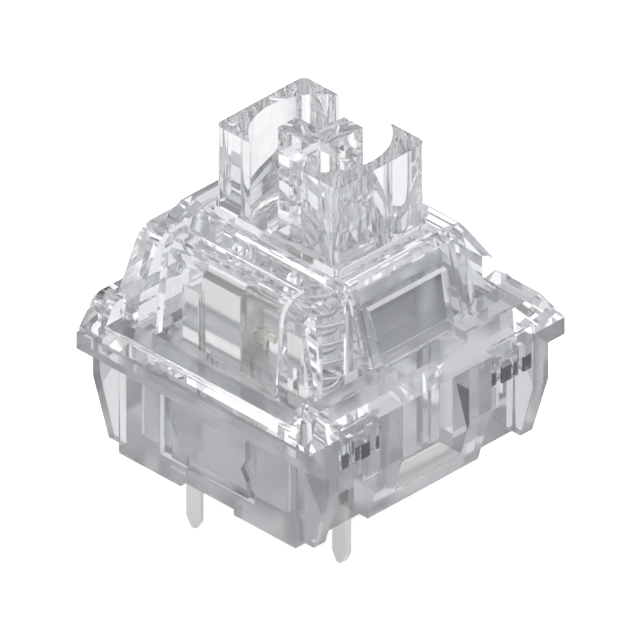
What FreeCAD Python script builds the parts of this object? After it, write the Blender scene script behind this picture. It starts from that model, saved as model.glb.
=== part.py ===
"""Mechanical keyboard switch with a clear cover, a clear cross stem and a frosted base.

Millimetres, +Z up. The origin is on the axis of the round centre post, in the plane of the
board that the base stands on. The contact side faces -Y and the lamp side faces +Y.
"""
import FreeCAD, Part

import math
import os

from FreeCAD import Vector

# Whole switch
SEAT_Z = 5.0                 # underside of the flange, which rests on the mounting plate
BODY_X = 14.0                # width that passes through the plate
FLANGE_LIP = 1.0             # flange beyond the base at the front and the rear
FLANGE_T = 0.85              # thickness of the flange
COVER_RISE = 5.75            # cover height above the flange
TRAVEL = 4.0                 # full stroke of the stem
RUN_GAP = 0.12               # clearance round sliding faces
SEAT_GAP = 0.04              # clearance between pieces that seat on each other

# Base
POST_R = 2.0                 # centre post that locates the switch on the board
POST_LEN = 3.3
POST_CHAMFER = 0.5
FLOOR_Z = 1.2                # top of the floor, whose underside rests on the board
BASE_WALL = 0.8              # outer wall of the base
CAVITY_ROUND = 0.4           # upright inside corners of the base
CORE_X = 5.3                 # half width of the core between the corner posts
PANEL_X = 5.35               # half width of the flat front and rear panels
PANEL_PROUD = 0.08           # panels stand proud of the corner posts
CORNER_W = 0.9               # width of a corner post along Y
CORNER_TAPER = 0.17          # corner posts lean in by this much along Y
POST_SLOPE_DROP = 1.8        # drop below the seat where the corner posts start to taper
POST_FOOT_RISE = 0.3         # corner posts end this far above the board
POST_FOOT_X = 6.2            # half width over the corner posts at their foot
YOKE_Y = 3.35                # half width of the U-shaped side frame
YOKE_OPEN_Y = 2.0            # half width of its opening
YOKE_SILL_Z = 1.35           # bottom of its opening
YOKE_BACK_X = 5.2            # back wall of its opening
YOKE_ROUND = 0.3
CLIP_X = 2.3                 # half width of the plate clip on the front and rear panels
CLIP_TOP = 0.6               # drop of the clip's top below the seat
CLIP_LEN = 3.3
CLIP_RECESS = 0.3            # clip pocket behind the panel, with the clip's nose flush with it
CLIP_NOSE_DROP = 0.5         # nose of the clip below its top
CLIP_NICK = 0.35             # V-shaped nick in each edge of the clip
CLIP_NICK_DROP = 1.9
CLIP_NICK_H = 1.5
PANEL_NOTCH_X = 1.6          # shallow notch in the lower edge of each panel
PANEL_NOTCH_H = 0.3
PANEL_NOTCH_Y = 1.2
CLIP_SLOT = 0.55             # width of the slots beside the clip
GUIDE_R = 1.55               # tube on the floor that centres the spring
GUIDE_H = 2.2
BORE_SPARE = 0.4             # bore deeper than the pole reaches
POLE_BORE_R = 1.0            # blind bore under it that takes the stem's pole

# Cover
COVER_WALL = 0.9
LUG_RISE = 1.65              # height of the side bands above the flange
LUG_X = 5.6                  # inner face of the side bands
LUG_TOP_X = 6.73             # half width over the side bands at their top
LEDGE_RISE = 0.75            # height of the front ledge above the flange
TOWER_FOOT_X = 6.0           # half width of the tower where it leaves the side bands
TOWER_TOP_X = 4.9            # half width of the tower at its top
HOOD_INSET = 1.4             # foot of the contact hood behind the edge of the flange
HOOD_LEAN = 0.45             # hood leans back by this much up to its rounded top
HOOD_DROP = 0.22             # hood top below the platform
HOOD_STEP = 0.2              # length of the step from the hood up to the platform
HOOD_ROUND = 0.85
PLATFORM_FRONT = 1.0         # platform in front of the dust wall
PLATFORM_REAR = 0.9          # platform behind the dust wall
SLOPE_INSET = 1.2            # foot of the sloping lamp side inside the edge of the flange
SLOPE_X = 5.0                # half width of the sloping lamp side
SLOPE_TOP_SHARE = 0.6        # how a wall's thickness moves the top of the slope inwards
SLOPE_FOOT_SHARE = 0.4       # and its foot downwards
FOOT_SINK = 0.01             # inside space opens just below the cover's underside
WINDOW_X = 3.6               # half width of the recessed window in the hood
WINDOW_DEPTH = 0.4
WINDOW_LIP = 0.9             # hood top left whole in front of the platform
BAND_INSET = 0.15            # front of the side bands and the ledge behind the flange's edge
BAND_FOOT_H = 0.25           # upright foot of a side band
BAND_SHOULDER = 0.7          # radius and setback of a side band's front shoulder
BAND_RISE = 0.06             # top of a side band rises by this much to the front
LEDGE_LEAN = 0.2
LEDGE_ROUND = 0.2
LEDGE_REAR = 0.6             # sloping rear edge of the ledge
SIDE_PANEL_FOOT_Y = 2.1      # half width of the recessed side panel at its foot
SIDE_PANEL_TOP_Y = 2.35
SIDE_PANEL_DROP = 1.6        # top of the side panel below the platform
SIDE_PANEL_DEPTH = 0.45
SIDE_PANEL_SINK = 0.4        # foot of the side panel below the top of the side band
RIB_GAP_Y0 = 2.75            # groove between the ribs beside the side panel
RIB_GAP_Y1 = 3.25
RIB_GAP_DEPTH = 0.3
RIB_GAP_DROP = 0.5           # top of that groove below the platform
LAMP_SLOT_X = 2.4            # half width of the lamp slot
LAMP_SLOT_W = 1.9
LAMP_SLOT_STEP = 0.53        # slot behind the rear edge of the platform
LEG_SIDE_GAP = 0.1           # snap legs stand this far from the posts beside them
LEG_DROP = 0.8               # legs reach this far below the seat
LEG_T = 0.85
LEG_TOOTH = 0.3              # chamfer inside the lower end of a leg
LEG_ROOT = 0.5               # leg starts this far above the flange
LEG_SLOT_W = 0.3             # two slots part a leg into three prongs
LEG_SLOT_LAND = 0.2          # slots end this far below the top of the flange
LEG_PRONG_W = 1.0            # middle prong, whose tooth holds the cover
LEG_PRONG_OFF = 0.12         # middle prong off the middle of the leg, towards the side frame
TOOTH_H = 0.3                # height of the tooth at the end of the middle prong
TOOTH_POCKET_H = 0.7         # pocket above it
LATCH_PROUD = 0.5            # latch nose on the base that fills the pocket

# Stem
STEM_X = 3.7                 # half width of the dust wall
STEM_Y = 2.7                 # half depth of the dust wall
STEM_RISE = 4.0              # dust wall above the cover
STEM_ROUND = 0.35
STEM_BORE_R = 3.1            # round bore inside the dust wall
STEM_BORE_DROP = 0.9         # floor of that bore below the cover's top
STEM_BORE_ROUND = 0.4        # round where the bore meets its floor
STEM_FLOOR_T = 1.2           # floor between that bore and the spring's seat
CROSS_SPAN = 4.0             # cross that takes the keycap
CROSS_ARM = 1.15
CROSS_DROP = 0.35            # top of the cross below the dust wall
COLLAR_R = 2.3               # round collar at the foot of the cross
COLLAR_H = 0.6
SKIRT_WALL = 0.55
SKIRT_H = 4.6                # skirt below the cover's roof
SHOULDER = 0.3               # skirt wider than the dust wall, held back by the cover
RAIL_PROUD = 0.4             # guide rails on the sides of the skirt
RAIL_Y = 1.2                 # half width of a rail
RAIL_DROP = 1.1              # top of the rails below the skirt's top
RAIL_RIB_W = 0.5             # guide ribs beside the rails, on the base
POLE_R = 0.8                 # pole inside the spring
POLE_TIP = 0.45
POLE_TIP_R = 0.4
POLE_Z = 2.2                 # lower end of the pole at rest
STEM_LEG_X0 = 1.25           # legs that hold the contact leaf open
STEM_LEG_W = 0.8
STEM_LEG_BACK = 0.45         # how far the leg falls back above its lobe
STEM_LEG_GAP = 0.03          # lobe just clear of the leaf's arm
STEM_LEG_DROP = 0.7          # top of the legs below the cover's roof
STEM_LEG_RAMP = 0.6
STEM_LEG_ROOT = 0.1          # legs start this far inside the skirt
STEM_LEG_FOOT_Z = 6.0        # lower end of the legs at rest
STEM_LOBE_Z = 7.0            # top of the lobe at rest
STEM_LOBE_R = 0.15

# Spring
COIL_R = 1.86                # mean radius
WIRE_R = 0.13
COIL_TURNS = 10
STEPS_PER_TURN = 12          # sections of the wire in one turn
WIRE_SIDES = 8

# Contacts
PIN_LEN = 3.3                # pins below the board plane
PIN_A_X = 3.81               # board hole pattern of the two pins
PIN_B_X = -2.54
PIN_ROWS = 2.54              # pin A stands this far behind pin B
PIN_A_W = 0.8
PIN_A_T = 0.36
PIN_B_W = 0.88
PIN_B_T = 0.2
PIN_POINT = 0.5              # length of the pointed end
PIN_ROUND = 0.1
STRIP_Z = 0.6                # height of the strip along the floor
CONTACT_T = 0.27             # sheet of the fixed contact
BLADE_CLEAR = 0.58           # blade in front of the stem's skirt
BLADE_TOP = 9.3
RISER_X = 3.4                # riser of the fixed contact in its corner
RISER_W = 1.0
RISER_BACK = 0.13            # riser behind the centre line of pin B
RISER_TOP = 9.5
RISER_SLIT = 0.35
RISER_SLIT_Z0 = 6.5
RISER_SLIT_Z1 = 7.8
TERMINAL_W = 1.9             # plate above pin B
TERMINAL_TOP = 6.0
TERMINAL_HORN_X = -2.95      # narrow horn that stands on the plate
TERMINAL_HORN_W = 0.98
TERMINAL_HORN_TOP = 9.0
LEAF_T = 0.12
LEAF_GAP = 0.02
LEAF_ROOT_Z = 3.2
LEAF_ROOT_X = -3.2           # left edge of the narrow root
LEAF_ROOT_W = 1.41
LEAF_WIDE_Z = 4.6            # above this the outer branch is wide
LEAF_FOLD_X0 = -1.95         # the fold at the top
LEAF_FOLD_X1 = 0.35
LEAF_BEND_R = 0.38
LEAF_BEND_Z = 9.6
LEAF_SHOULDER_Z = 9.4        # top of the inner branch beside the fold
LEAF_SLOT_Z = 8.3            # top of the slots beside the tongue
LEAF_ARM_Z = 6.4             # lower end of the two arms
LEAF_ARM_W = 0.6
LEAF_TONGUE_W = 0.7
LEAF_TONGUE_DROP = 0.45      # tongue below the middle of the contact points
POINT_X = 0.72               # place of the contact points
POINT_Z = 7.5
POINT_W = 0.6
POINT_H = 0.4
POINT_T = 0.15
POINT_GAP = 0.23             # open gap between the points
POINT_HOLE = 0.25            # square hole in the tongue that takes the rivet of its point
POINT_HEAD = 0.05            # flat head of that rivet on the outside of the tongue
CONTACT_ROOM = 0.82          # room between pin B's plate and the front wall

# Places that follow from the sizes, with the contacts stacked outwards from the stem
BLADE_Y = -(STEM_Y + BLADE_CLEAR + CONTACT_T)
LEAF_INNER_Y = BLADE_Y - 2 * POINT_T - POINT_GAP
LEAF_OUTER_Y = LEAF_INNER_Y - 2 * LEAF_BEND_R - LEAF_T
PIN_B_Y = LEAF_OUTER_Y - LEAF_GAP - PIN_B_T / 2
PIN_A_Y = PIN_B_Y + PIN_ROWS
BODY_Y = 2 * (BASE_WALL + CONTACT_ROOM + PIN_B_T / 2 - PIN_B_Y)
FLANGE_Y = BODY_Y + 2 * FLANGE_LIP
HOOD_FOOT_Y = FLANGE_Y / 2 - HOOD_INSET
HOOD_TOP_Y = HOOD_FOOT_Y - HOOD_LEAN
HOOD_STEP_Y = STEM_Y + PLATFORM_FRONT
TOWER_REAR_Y = STEM_Y + PLATFORM_REAR
SLOPE_FOOT_Y = FLANGE_Y / 2 - SLOPE_INSET
LAMP_SLOT_Y = TOWER_REAR_Y + LAMP_SLOT_STEP + LAMP_SLOT_W / 2
LEG_Y0 = YOKE_Y + LEG_SIDE_GAP
LEG_Y1 = BODY_Y / 2 - CORNER_W - LEG_SIDE_GAP
STEM_LEG_Y = -LEAF_INNER_Y - STEM_LEG_GAP
FLANGE_TOP = SEAT_Z + FLANGE_T
COVER_TOP = FLANGE_TOP + COVER_RISE
ROOF_Z = COVER_TOP - COVER_WALL
STEM_TOP = COVER_TOP + STEM_RISE
PAST = 1.0                   # cutting shapes reach this far past what they cut
SEAM = 0.1                   # shapes of one piece reach this far into each other


def span_box(x0, x1, y0, y1, z0, z1):
    """Box between two corners."""
    return Part.makeBox(x1 - x0, y1 - y0, z1 - z0, Vector(x0, y0, z0))


def centred_box(half_x, half_y, z0, z1):
    """Box centred on the Z axis."""
    return span_box(-half_x, half_x, -half_y, half_y, z0, z1)


def cylinder(radius, z0, z1, x=0.0, y=0.0):
    """Upright cylinder between two heights."""
    return Part.makeCylinder(radius, z1 - z0, Vector(x, y, z0))


def unit(vector):
    """Copy of a vector with length one."""
    return Vector(vector).normalize()


def outline(corners):
    """Closed wire through corners (point, radius), each corner rounded by a tangent arc."""
    runs = []
    arcs = []
    for index, (point, radius) in enumerate(corners):
        before = unit(corners[index - 1][0] - point)
        after = unit(corners[(index + 1) % len(corners)][0] - point)
        if radius == 0:
            runs.append((point, point))
            arcs.append(None)
            continue
        half_turn = before.getAngle(after) / 2
        reach = radius / math.tan(half_turn)
        middle = unit(before + after)
        centre = point + middle * (radius / math.sin(half_turn))
        start = point + before * reach
        end = point + after * reach
        runs.append((start, end))
        arcs.append(Part.Arc(start, centre - middle * radius, end).toShape())
    edges = []
    for index, arc in enumerate(arcs):
        if arc is not None:
            edges.append(arc)
        next_start = runs[(index + 1) % len(runs)][0]
        edges.append(Part.LineSegment(runs[index][1], next_start).toShape())
    return Part.Wire(edges)


def extrude(corners, direction):
    """Prism from a rounded outline."""
    return Part.Face(outline(corners)).extrude(direction)


def side_prism(points, x0, x1):
    """Prism along X from a side view given as (y, z) or (y, z, radius)."""
    corners = [(Vector(x0, p[0], p[1]), p[2] if len(p) > 2 else 0) for p in points]
    return extrude(corners, Vector(x1 - x0, 0, 0))


def front_prism(points, y0, y1):
    """Prism along Y from a front view given as (x, z) or (x, z, radius)."""
    corners = [(Vector(p[0], y0, p[1]), p[2] if len(p) > 2 else 0) for p in points]
    return extrude(corners, Vector(0, y1 - y0, 0))


def plan_prism(points, z0, z1):
    """Prism along Z from a plan given as (x, y) or (x, y, radius)."""
    corners = [(Vector(p[0], p[1], z0), p[2] if len(p) > 2 else 0) for p in points]
    return extrude(corners, Vector(0, 0, z1 - z0))


def rounded_block(half_x, half_y, radius, z0, z1):
    """Centred block with rounded upright edges."""
    corners = [(-half_x, -half_y), (half_x, -half_y), (half_x, half_y), (-half_x, half_y)]
    return plan_prism([(x, y, radius) for x, y in corners], z0, z1)


def mirror_x(shape):
    """Copy on the other side of the YZ plane."""
    return shape.mirror(Vector(0, 0, 0), Vector(1, 0, 0))


def mirror_y(shape):
    """Copy on the other side of the XZ plane."""
    return shape.mirror(Vector(0, 0, 0), Vector(0, 1, 0))


def both_sides(shape):
    """The shape and its copy across the YZ plane."""
    return [shape, mirror_x(shape)]


def four_corners(shape):
    """The shape and its copies in the other three quarters."""
    return both_sides(shape) + [mirror_y(copy) for copy in both_sides(shape)]


def fused(shapes):
    """One solid from touching shapes, with the seams between them removed."""
    return shapes[0].multiFuse(shapes[1:]).removeSplitter()


def without(shape, tools):
    """The shape with all tools cut away."""
    return shape.cut(tools)


# Base


def corner_post():
    """Tapering post at one corner of the base."""
    half_y = BODY_Y / 2
    front = front_prism(
        [
            (CORE_X - BASE_WALL, FLANGE_TOP),
            (BODY_X / 2, FLANGE_TOP),
            (BODY_X / 2, SEAT_Z - POST_SLOPE_DROP),
            (POST_FOOT_X, POST_FOOT_RISE),
            (CORE_X - BASE_WALL, POST_FOOT_RISE),
        ],
        half_y - CORNER_W,
        half_y,
    )
    side = side_prism(
        [
            (half_y - CORNER_W, FLANGE_TOP),
            (half_y, FLANGE_TOP),
            (half_y, SEAT_Z - POST_SLOPE_DROP),
            (half_y - CORNER_TAPER, POST_FOOT_RISE),
            (half_y - CORNER_W, POST_FOOT_RISE),
        ],
        0,
        BODY_X / 2,
    )
    return front.common(side)


def yoke():
    """U-shaped frame in the middle of one side."""
    post_drop = SEAT_Z - POST_SLOPE_DROP
    block = front_prism(
        [
            (CORE_X - BASE_WALL, FLANGE_TOP),
            (BODY_X / 2, FLANGE_TOP),
            (BODY_X / 2, post_drop),
            (POST_FOOT_X, POST_FOOT_RISE),
            (CORE_X - BASE_WALL, POST_FOOT_RISE),
        ],
        -YOKE_Y,
        YOKE_Y,
    )
    opening = plan_prism(
        [
            (YOKE_BACK_X, -YOKE_OPEN_Y, YOKE_ROUND),
            (BODY_X, -YOKE_OPEN_Y),
            (BODY_X, YOKE_OPEN_Y),
            (YOKE_BACK_X, YOKE_OPEN_Y, YOKE_ROUND),
        ],
        YOKE_SILL_Z,
        FLANGE_TOP + PAST,
    )
    return block.cut(opening)


def latch_nose():
    """Ramped nose that snaps over the tooth of one cover leg."""
    half = LEG_PRONG_W / 2 - RUN_GAP
    face_x = leg_inner_x()
    top = SEAT_Z - LEG_DROP + TOOTH_H + TOOTH_POCKET_H - RUN_GAP
    bottom = SEAT_Z - LEG_DROP + TOOTH_H + RUN_GAP
    return front_prism(
        [
            (CORE_X - BASE_WALL, bottom),
            (face_x + LATCH_PROUD, bottom),
            (face_x + RUN_GAP, top),
            (CORE_X - BASE_WALL, top),
        ],
        leg_prong_y() - half,
        leg_prong_y() + half,
    )


def leg_inner_x():
    """Inner face of the cover legs, just clear of the base's core."""
    return BODY_X / 2 - LEG_T


def leg_prong_y():
    """Middle line of the prong that carries a leg's tooth."""
    return (LEG_Y0 + LEG_Y1) / 2 - LEG_PRONG_OFF


def base_block():
    """Outside of the base before it is hollowed."""
    half_y = BODY_Y / 2
    core = centred_box(CORE_X, half_y - PANEL_PROUD, 0, FLANGE_TOP)
    panel = centred_box(PANEL_X, half_y + PANEL_PROUD, 0, FLANGE_TOP)
    flange = centred_box(BODY_X / 2, FLANGE_Y / 2, SEAT_Z, FLANGE_TOP)
    parts = [core, panel, flange]
    parts += four_corners(corner_post())
    parts += both_sides(yoke())
    return fused(parts)


def leg_notch():
    """Room for one cover leg in the edge of the flange and the core."""
    return span_box(
        leg_inner_x() - SEAT_GAP,
        BODY_X / 2 + PAST,
        LEG_Y0 - LEG_SIDE_GAP,
        LEG_Y1 + LEG_SIDE_GAP,
        -PAST,
        FLANGE_TOP + PAST,
    )


def yoke_notch():
    """Room above the opening of one U-shaped frame."""
    return span_box(
        YOKE_BACK_X,
        BODY_X,
        -YOKE_OPEN_Y,
        YOKE_OPEN_Y,
        YOKE_SILL_Z,
        FLANGE_TOP + PAST,
    )


def base_cavity():
    """Inside space of the base."""
    half_x = CORE_X - BASE_WALL
    half_y = BODY_Y / 2 - BASE_WALL
    return rounded_block(half_x, half_y, CAVITY_ROUND, FLOOR_Z, FLANGE_TOP + PAST)


def panel_face():
    """Distance of the front and rear panels from the middle."""
    return BODY_Y / 2 + PANEL_PROUD


def plate_clip():
    """Sprung tongue of the front panel, with a V-shaped nick in each edge."""
    face = panel_face()
    top = SEAT_Z - CLIP_TOP
    back = -face + CLIP_RECESS + SEAM
    tongue = side_prism(
        [
            (back, top),
            (-face + CLIP_RECESS / 2, top),
            (-face, top - CLIP_NOSE_DROP),
            (-face + CLIP_RECESS / 2, top - CLIP_LEN),
            (back, top - CLIP_LEN),
        ],
        -CLIP_X,
        CLIP_X,
    )
    nick = front_prism(
        [
            (CLIP_X + SEAM, top - CLIP_NICK_DROP + CLIP_NICK_H / 2),
            (CLIP_X - CLIP_NICK, top - CLIP_NICK_DROP),
            (CLIP_X + SEAM, top - CLIP_NICK_DROP - CLIP_NICK_H / 2),
        ],
        -BODY_Y,
        0,
    )
    return tongue.cut(both_sides(nick))


def clip_pocket():
    """Shallow pocket in the front panel round the clip."""
    face = panel_face()
    top = SEAT_Z - CLIP_TOP
    half = CLIP_X + CLIP_SLOT
    return span_box(-half, half, -face - PAST, -face + CLIP_RECESS, top - CLIP_LEN, top)


def panel_notch():
    """Shallow notch in the lower edge of the front panel."""
    face = panel_face()
    return span_box(
        -PANEL_NOTCH_X,
        PANEL_NOTCH_X,
        -face - PAST,
        -face + PANEL_NOTCH_Y,
        -PAST,
        PANEL_NOTCH_H,
    )


def spring_guide():
    """Tube on the floor that the spring sits round."""
    return cylinder(GUIDE_R, FLOOR_Z - SEAM, FLOOR_Z + GUIDE_H)


def centre_post():
    """Round post under the floor, chamfered at its tip."""
    post = cylinder(POST_R, -POST_LEN, FLOOR_Z / 2)
    tip = Part.makeCone(
        POST_R - POST_CHAMFER,
        POST_R,
        POST_CHAMFER,
        Vector(0, 0, -POST_LEN),
    )
    shank = cylinder(POST_R, -POST_LEN + POST_CHAMFER, FLOOR_Z / 2)
    return shank.fuse(tip).common(post)


def rail_ribs():
    """Upright ribs inside the side walls that guide the stem's rails."""
    rib = span_box(
        STEM_X + SHOULDER + RUN_GAP,
        CORE_X - BASE_WALL / 2,
        RAIL_Y + RUN_GAP,
        RAIL_Y + RUN_GAP + RAIL_RIB_W,
        FLOOR_Z / 2,
        FLANGE_TOP,
    )
    return four_corners(rib)


def pin_slots():
    """Slots in the floor for the two contact pins."""
    slot_a = span_box(
        PIN_A_X - PIN_A_W / 2 - SEAT_GAP,
        PIN_A_X + PIN_A_W / 2 + SEAT_GAP,
        PIN_A_Y - PIN_A_T / 2 - SEAT_GAP,
        PIN_A_Y + PIN_A_T / 2 + SEAT_GAP,
        -PAST,
        FLOOR_Z + PAST,
    )
    slot_b = span_box(
        PIN_B_X - PIN_B_W / 2 - SEAT_GAP,
        PIN_B_X + PIN_B_W / 2 + SEAT_GAP,
        PIN_B_Y - PIN_B_T / 2 - SEAT_GAP,
        PIN_B_Y + PIN_B_T / 2 + SEAT_GAP,
        -PAST,
        FLOOR_Z + PAST,
    )
    return [slot_a, slot_b]


def lamp_gap():
    """Open pocket on the lamp side, down through the floor."""
    return span_box(
        -LAMP_SLOT_X,
        LAMP_SLOT_X,
        LAMP_SLOT_Y - LAMP_SLOT_W / 2,
        LAMP_SLOT_Y + LAMP_SLOT_W / 2,
        -PAST,
        FLOOR_Z + PAST,
    )


def bottom_housing():
    """Frosted base with flange, corner posts, side frames, clips and centre post."""
    body = base_block()
    cuts = four_corners(leg_notch()) + both_sides(yoke_notch())
    cuts.append(base_cavity())
    cuts += [clip_pocket(), mirror_y(clip_pocket())]
    cuts += [panel_notch(), mirror_y(panel_notch())]
    body = without(body, cuts)
    parts = [body, plate_clip(), mirror_y(plate_clip()), spring_guide(), centre_post()]
    parts += four_corners(latch_nose()) + rail_ribs()
    body = fused(parts)
    bore = cylinder(POLE_BORE_R, POLE_Z - TRAVEL - BORE_SPARE, FLOOR_Z + GUIDE_H + PAST)
    return without(body, [bore, lamp_gap()] + pin_slots())


# Cover


def side_band(x0, x1):
    """Band along one side of the cover, with a rounded shoulder at the front."""
    z0 = FLANGE_TOP
    front = -FLANGE_Y / 2 + BAND_INSET
    top = z0 + LUG_RISE
    band = side_prism(
        [
            (front, z0),
            (front, z0 + BAND_FOOT_H),
            (front + BAND_SHOULDER, top, BAND_SHOULDER),
            (-SLOPE_FOOT_Y, top + BAND_RISE),
            (SLOPE_FOOT_Y, top),
            (FLANGE_Y / 2, z0),
        ],
        x0,
        x1,
    )
    taper = front_prism(
        [
            (0, z0),
            (BODY_X / 2, z0),
            (LUG_TOP_X, top + BAND_RISE),
            (0, top + BAND_RISE),
        ],
        -FLANGE_Y,
        FLANGE_Y,
    )
    return band.common(taper)


def tower_side_view(inset):
    """Side view of the tower; inset moves every face inwards."""
    z0 = FLANGE_TOP
    top = COVER_TOP - inset
    hood = COVER_TOP - HOOD_DROP - inset
    foot = z0 - inset * FOOT_SINK
    return [
        (-HOOD_FOOT_Y + inset, foot),
        (-HOOD_FOOT_Y + inset, z0 + LEDGE_RISE),
        (-HOOD_TOP_Y + inset, hood, max(HOOD_ROUND - inset, HOOD_ROUND / 4)),
        (-HOOD_STEP_Y - HOOD_STEP / 2 + inset, hood),
        (-HOOD_STEP_Y + HOOD_STEP / 2 + inset, top),
        (TOWER_REAR_Y - inset * SLOPE_TOP_SHARE, top),
        (SLOPE_FOOT_Y - inset, z0 + LUG_RISE - inset * SLOPE_FOOT_SHARE),
        (SLOPE_FOOT_Y - inset, foot),
    ]


def tower_front_view(inset):
    """Front view of the tower; inset moves every face inwards."""
    z0 = FLANGE_TOP
    foot = TOWER_FOOT_X - inset
    top = TOWER_TOP_X - inset
    low = z0 - inset * FOOT_SINK
    return [
        (-foot, low),
        (-foot, z0 + LUG_RISE),
        (-top, COVER_TOP),
        (top, COVER_TOP),
        (foot, z0 + LUG_RISE),
        (foot, low),
    ]


def tower(inset):
    """Tower of the cover, or the space inside it."""
    side = side_prism(tower_side_view(inset), -BODY_X / 2, BODY_X / 2)
    front = front_prism(tower_front_view(inset), -FLANGE_Y / 2, FLANGE_Y / 2)
    return side.common(front)


def lamp_side_trim():
    """Material beside the narrower sloping lamp side."""
    trim = span_box(
        SLOPE_X,
        BODY_X,
        TOWER_REAR_Y,
        FLANGE_Y,
        FLANGE_TOP + LUG_RISE,
        COVER_TOP + PAST,
    )
    return both_sides(trim)


def hood_window():
    """Recess that wraps over the rounded top of the hood."""
    z0 = FLANGE_TOP + LEDGE_RISE
    hood = COVER_TOP - HOOD_DROP
    outer = [
        (-HOOD_FOOT_Y - PAST, z0),
        (-HOOD_FOOT_Y - PAST, hood + PAST),
        (-HOOD_STEP_Y - WINDOW_LIP, hood + PAST),
        (-HOOD_STEP_Y - WINDOW_LIP, hood - WINDOW_DEPTH),
        (-HOOD_TOP_Y + WINDOW_DEPTH, hood - WINDOW_DEPTH, HOOD_ROUND),
        (-HOOD_FOOT_Y + WINDOW_DEPTH, z0),
    ]
    return side_prism(outer, -WINDOW_X, WINDOW_X)


def tower_face_x(height, depth):
    """Half width of the tower at a height above the flange, less a depth."""
    share = (height - LUG_RISE) / (COVER_RISE - LUG_RISE)
    return TOWER_FOOT_X + (TOWER_TOP_X - TOWER_FOOT_X) * share - depth


def side_panel(y_foot, y_top, rise_foot, rise_top, depth):
    """Tapered recess in the sloping face of the tower, cut to an even depth."""
    z0 = FLANGE_TOP
    wedge = front_prism(
        [
            (tower_face_x(rise_foot, depth), z0 + rise_foot),
            (BODY_X, z0 + rise_foot),
            (BODY_X, z0 + rise_top),
            (tower_face_x(rise_top, depth), z0 + rise_top),
        ],
        -FLANGE_Y / 2,
        FLANGE_Y / 2,
    )
    shape = side_prism(
        [
            (-y_foot, z0 + rise_foot),
            (-y_top, z0 + rise_top),
            (y_top, z0 + rise_top),
            (y_foot, z0 + rise_foot),
        ],
        0,
        BODY_X,
    )
    return wedge.common(shape)


def rib_groove():
    """Groove between the two ribs beside a side panel."""
    z0 = FLANGE_TOP
    rise_top = COVER_RISE - RIB_GAP_DROP
    return front_prism(
        [
            (tower_face_x(LUG_RISE, RIB_GAP_DEPTH), z0 + LUG_RISE),
            (BODY_X, z0 + LUG_RISE),
            (BODY_X, z0 + rise_top),
            (tower_face_x(rise_top, RIB_GAP_DEPTH), z0 + rise_top),
        ],
        RIB_GAP_Y0,
        RIB_GAP_Y1,
    )


def leg_slot(y):
    """Slot between two prongs of a leg, round the given middle line."""
    return span_box(
        0,
        BODY_X,
        y - LEG_SLOT_W / 2,
        y + LEG_SLOT_W / 2,
        SEAT_Z - LEG_DROP - PAST,
        FLANGE_TOP - LEG_SLOT_LAND,
    )


def cover_leg():
    """Snap leg with three prongs, the middle one toothed, at one corner of the cover."""
    x0 = leg_inner_x()
    x1 = BODY_X / 2
    bottom = SEAT_Z - LEG_DROP
    leg = front_prism(
        [
            (x0, FLANGE_TOP + LEG_ROOT),
            (x0, bottom + LEG_TOOTH),
            (x0 + LEG_TOOTH, bottom),
            (x1, bottom),
            (x1, FLANGE_TOP + LEG_ROOT),
        ],
        LEG_Y0,
        LEG_Y1,
    )
    middle = leg_prong_y()
    pocket = span_box(
        0,
        x0 + LATCH_PROUD + RUN_GAP,
        middle - LEG_PRONG_W / 2,
        middle + LEG_PRONG_W / 2,
        bottom + TOOTH_H,
        bottom + TOOTH_H + TOOTH_POCKET_H,
    )
    side = (LEG_PRONG_W + LEG_SLOT_W) / 2
    return without(leg, [pocket, leg_slot(middle - side), leg_slot(middle + side)])


def stem_opening():
    """Opening in the platform that the stem slides through."""
    return rounded_block(
        STEM_X + RUN_GAP,
        STEM_Y + RUN_GAP,
        STEM_ROUND,
        ROOF_Z - PAST,
        COVER_TOP + PAST,
    )


def lamp_slot():
    """Slot in the sloping lamp side."""
    return span_box(
        -LAMP_SLOT_X,
        LAMP_SLOT_X,
        LAMP_SLOT_Y - LAMP_SLOT_W / 2,
        LAMP_SLOT_Y + LAMP_SLOT_W / 2,
        FLANGE_TOP - PAST,
        COVER_TOP,
    )


def ledge():
    """Low plinth of the cover between the side bands."""
    half = FLANGE_Y / 2
    front = -half + BAND_INSET
    return side_prism(
        [
            (front, FLANGE_TOP),
            (front + LEDGE_LEAN, FLANGE_TOP + LEDGE_RISE, LEDGE_ROUND),
            (half - LEDGE_REAR, FLANGE_TOP + LEDGE_RISE),
            (half, FLANGE_TOP),
        ],
        -LUG_X - SEAM,
        LUG_X + SEAM,
    )


def cover_room():
    """Space inside the cover for the stem, the spring and the contacts."""
    return tower(COVER_WALL)


def top_housing():
    """Clear cover with hood, ribs, recessed windows, lamp slot and four snap legs."""
    parts = both_sides(side_band(LUG_X, BODY_X / 2))
    parts += [ledge(), tower(0)]
    body = fused(parts)
    cuts = lamp_side_trim()
    cuts += [hood_window(), stem_opening(), lamp_slot(), cover_room()]
    panel = side_panel(
        SIDE_PANEL_FOOT_Y,
        SIDE_PANEL_TOP_Y,
        LUG_RISE - SIDE_PANEL_SINK,
        COVER_RISE - SIDE_PANEL_DROP,
        SIDE_PANEL_DEPTH,
    )
    cuts += both_sides(panel)
    cuts += four_corners(rib_groove())
    body = without(body, cuts)
    return fused([body] + four_corners(cover_leg()))


# Stem


def dust_wall():
    """Block round the cross, bored out so that two curved walls stand up."""
    block = rounded_block(STEM_X, STEM_Y, STEM_ROUND, spring_seat_z(), STEM_TOP)
    floor_z = COVER_TOP - STEM_BORE_DROP
    bore = cylinder(STEM_BORE_R, floor_z, STEM_TOP + PAST)
    floor_edges = [edge for edge in bore.Edges if edge.BoundBox.ZMax < floor_z + SEAM]
    return block.cut(bore.makeFillet(STEM_BORE_ROUND, floor_edges))


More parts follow.
